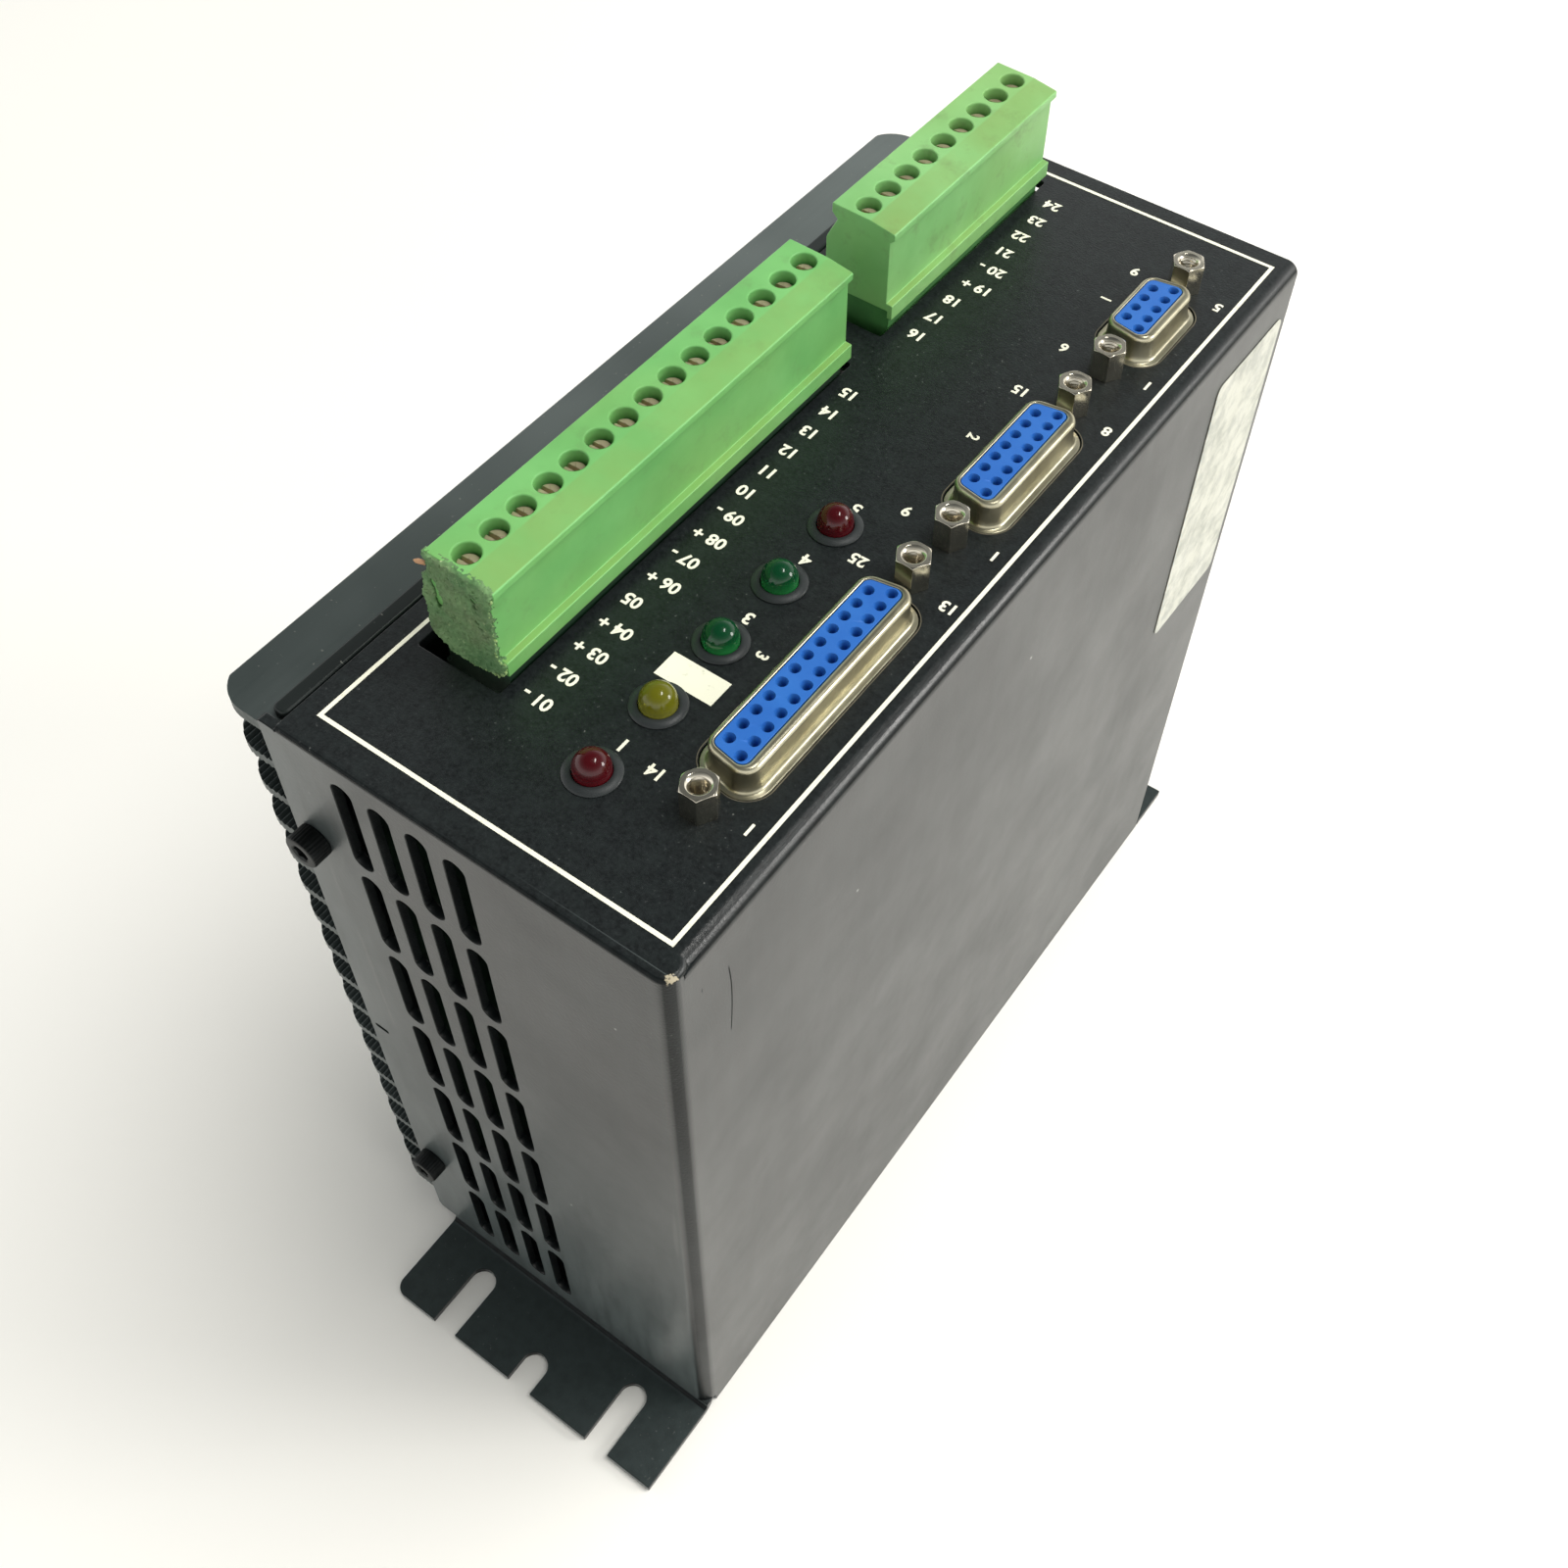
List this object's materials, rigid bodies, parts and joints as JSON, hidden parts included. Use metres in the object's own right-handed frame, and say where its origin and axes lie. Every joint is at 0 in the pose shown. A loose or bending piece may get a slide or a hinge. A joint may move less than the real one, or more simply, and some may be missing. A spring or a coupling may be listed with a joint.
{
  "type": "stepper motor driver module",
  "caption": "Sheet-metal drive module with side heatsink, slotted end flanges, vents, plug-in screw terminals, D-sub ports and indicator lamps.",
  "frame": {"origin": "centre of the footprint, flanges and heatsink included, on the mounting face of the base", "axes": "+Z from the mounting face to the connector panel, +Y from the near vented end to the far end, +X from the heatsink to the plain side"},
  "size_m": [0.0762, 0.1924, 0.1788],
  "materials": {
    "paint": "gloss black powder coat",
    "anodised": "black anodised",
    "black_steel": "black oxide",
    "plated_steel": "plated",
    "green_plastic": "moulded satin",
    "blue_plastic": "moulded satin",
    "led_red": "clear coloured epoxy",
    "led_yellow": "clear coloured epoxy",
    "led_green": "clear coloured epoxy",
    "label_paper": "printed film",
    "board": "solder mask",
    "epoxy": "moulded",
    "sleeve": "shrink sleeve"
  },
  "bodies": {
    "housing": {"cover": "paint", "far_end_plate": "paint", "base_plate": "paint", "heatsink": "anodised", "cap_screw_near_upper": "black_steel", "cap_screw_near_lower": "black_steel", "cap_screw_far_upper": "black_steel", "cap_screw_far_lower": "black_steel", "terminal_header_15": "green_plastic", "terminal_header_9": "green_plastic", "dsub_25_shell": "plated_steel", "dsub_25_insert": "blue_plastic", "dsub_15_shell": "plated_steel", "dsub_15_insert": "blue_plastic", "dsub_9_shell": "plated_steel", "dsub_9_insert": "blue_plastic", "jackscrew_25_near": "plated_steel", "jackscrew_25_far": "plated_steel", "jackscrew_15_near": "plated_steel", "jackscrew_15_far": "plated_steel", "jackscrew_9_near": "plated_steel", "jackscrew_9_far": "plated_steel", "led_1": "led_red", "led_2": "led_yellow", "led_3": "led_green", "led_4": "led_green", "led_5": "led_red", "side_label": "label_paper", "control_board": "board", "power_board": "board", "power_module": "epoxy", "rectifier_module": "epoxy", "capacitor_near": "sleeve", "capacitor_far": "sleeve"},
    "plug_15": {"terminal_plug_15": "green_plastic"},
    "plug_9": {"terminal_plug_9": "green_plastic"},
    "clamp_screw_01": {"terminal_screw_01": "plated_steel"},
    "clamp_screw_02": {"terminal_screw_02": "plated_steel"},
    "clamp_screw_03": {"terminal_screw_03": "plated_steel"},
    "clamp_screw_04": {"terminal_screw_04": "plated_steel"},
    "clamp_screw_05": {"terminal_screw_05": "plated_steel"},
    "clamp_screw_06": {"terminal_screw_06": "plated_steel"},
    "clamp_screw_07": {"terminal_screw_07": "plated_steel"},
    "clamp_screw_08": {"terminal_screw_08": "plated_steel"},
    "clamp_screw_09": {"terminal_screw_09": "plated_steel"},
    "clamp_screw_10": {"terminal_screw_10": "plated_steel"},
    "clamp_screw_11": {"terminal_screw_11": "plated_steel"},
    "clamp_screw_12": {"terminal_screw_12": "plated_steel"},
    "clamp_screw_13": {"terminal_screw_13": "plated_steel"},
    "clamp_screw_14": {"terminal_screw_14": "plated_steel"},
    "clamp_screw_15": {"terminal_screw_15": "plated_steel"},
    "clamp_screw_16": {"terminal_screw_16": "plated_steel"},
    "clamp_screw_17": {"terminal_screw_17": "plated_steel"},
    "clamp_screw_18": {"terminal_screw_18": "plated_steel"},
    "clamp_screw_19": {"terminal_screw_19": "plated_steel"},
    "clamp_screw_20": {"terminal_screw_20": "plated_steel"},
    "clamp_screw_21": {"terminal_screw_21": "plated_steel"},
    "clamp_screw_22": {"terminal_screw_22": "plated_steel"},
    "clamp_screw_23": {"terminal_screw_23": "plated_steel"},
    "clamp_screw_24": {"terminal_screw_24": "plated_steel"}
  },
  "joints": [
    {"name": "plug_15_lift", "type": "slide", "parent": "housing", "child": "plug_15", "axis": [0, 0, 1], "range_m": [0, 0.015]},
    {"name": "plug_9_lift", "type": "slide", "parent": "housing", "child": "plug_9", "axis": [0, 0, 1], "range_m": [0, 0.015]},
    {"name": "clamp_screw_01_turn", "type": "hinge", "parent": "plug_15", "child": "clamp_screw_01", "pos_m": [-0.0127, -0.05325, 0.174], "axis": [0, 0, 1], "continuous": true},
    {"name": "clamp_screw_02_turn", "type": "hinge", "parent": "plug_15", "child": "clamp_screw_02", "pos_m": [-0.0127, -0.04817, 0.174], "axis": [0, 0, 1], "continuous": true},
    {"name": "clamp_screw_03_turn", "type": "hinge", "parent": "plug_15", "child": "clamp_screw_03", "pos_m": [-0.0127, -0.04309, 0.174], "axis": [0, 0, 1], "continuous": true},
    {"name": "clamp_screw_04_turn", "type": "hinge", "parent": "plug_15", "child": "clamp_screw_04", "pos_m": [-0.0127, -0.03801, 0.174], "axis": [0, 0, 1], "continuous": true},
    {"name": "clamp_screw_05_turn", "type": "hinge", "parent": "plug_15", "child": "clamp_screw_05", "pos_m": [-0.0127, -0.03293, 0.174], "axis": [0, 0, 1], "continuous": true},
    {"name": "clamp_screw_06_turn", "type": "hinge", "parent": "plug_15", "child": "clamp_screw_06", "pos_m": [-0.0127, -0.02785, 0.174], "axis": [0, 0, 1], "continuous": true},
    {"name": "clamp_screw_07_turn", "type": "hinge", "parent": "plug_15", "child": "clamp_screw_07", "pos_m": [-0.0127, -0.02277, 0.174], "axis": [0, 0, 1], "continuous": true},
    {"name": "clamp_screw_08_turn", "type": "hinge", "parent": "plug_15", "child": "clamp_screw_08", "pos_m": [-0.0127, -0.01769, 0.174], "axis": [0, 0, 1], "continuous": true},
    {"name": "clamp_screw_09_turn", "type": "hinge", "parent": "plug_15", "child": "clamp_screw_09", "pos_m": [-0.0127, -0.01261, 0.174], "axis": [0, 0, 1], "continuous": true},
    {"name": "clamp_screw_10_turn", "type": "hinge", "parent": "plug_15", "child": "clamp_screw_10", "pos_m": [-0.0127, -0.00753, 0.174], "axis": [0, 0, 1], "continuous": true},
    {"name": "clamp_screw_11_turn", "type": "hinge", "parent": "plug_15", "child": "clamp_screw_11", "pos_m": [-0.0127, -0.00245, 0.174], "axis": [0, 0, 1], "continuous": true},
    {"name": "clamp_screw_12_turn", "type": "hinge", "parent": "plug_15", "child": "clamp_screw_12", "pos_m": [-0.0127, 0.00263, 0.174], "axis": [0, 0, 1], "continuous": true},
    {"name": "clamp_screw_13_turn", "type": "hinge", "parent": "plug_15", "child": "clamp_screw_13", "pos_m": [-0.0127, 0.00771, 0.174], "axis": [0, 0, 1], "continuous": true},
    {"name": "clamp_screw_14_turn", "type": "hinge", "parent": "plug_15", "child": "clamp_screw_14", "pos_m": [-0.0127, 0.01279, 0.174], "axis": [0, 0, 1], "continuous": true},
    {"name": "clamp_screw_15_turn", "type": "hinge", "parent": "plug_15", "child": "clamp_screw_15", "pos_m": [-0.0127, 0.01787, 0.174], "axis": [0, 0, 1], "continuous": true},
    {"name": "clamp_screw_16_turn", "type": "hinge", "parent": "plug_9", "child": "clamp_screw_16", "pos_m": [-0.0127, 0.0344, 0.174], "axis": [0, 0, 1], "continuous": true},
    {"name": "clamp_screw_17_turn", "type": "hinge", "parent": "plug_9", "child": "clamp_screw_17", "pos_m": [-0.0127, 0.03948, 0.174], "axis": [0, 0, 1], "continuous": true},
    {"name": "clamp_screw_18_turn", "type": "hinge", "parent": "plug_9", "child": "clamp_screw_18", "pos_m": [-0.0127, 0.04456, 0.174], "axis": [0, 0, 1], "continuous": true},
    {"name": "clamp_screw_19_turn", "type": "hinge", "parent": "plug_9", "child": "clamp_screw_19", "pos_m": [-0.0127, 0.04964, 0.174], "axis": [0, 0, 1], "continuous": true},
    {"name": "clamp_screw_20_turn", "type": "hinge", "parent": "plug_9", "child": "clamp_screw_20", "pos_m": [-0.0127, 0.05472, 0.174], "axis": [0, 0, 1], "continuous": true},
    {"name": "clamp_screw_21_turn", "type": "hinge", "parent": "plug_9", "child": "clamp_screw_21", "pos_m": [-0.0127, 0.0598, 0.174], "axis": [0, 0, 1], "continuous": true},
    {"name": "clamp_screw_22_turn", "type": "hinge", "parent": "plug_9", "child": "clamp_screw_22", "pos_m": [-0.0127, 0.06488, 0.174], "axis": [0, 0, 1], "continuous": true},
    {"name": "clamp_screw_23_turn", "type": "hinge", "parent": "plug_9", "child": "clamp_screw_23", "pos_m": [-0.0127, 0.06996, 0.174], "axis": [0, 0, 1], "continuous": true},
    {"name": "clamp_screw_24_turn", "type": "hinge", "parent": "plug_9", "child": "clamp_screw_24", "pos_m": [-0.0127, 0.07504, 0.174], "axis": [0, 0, 1], "continuous": true}
  ]
}
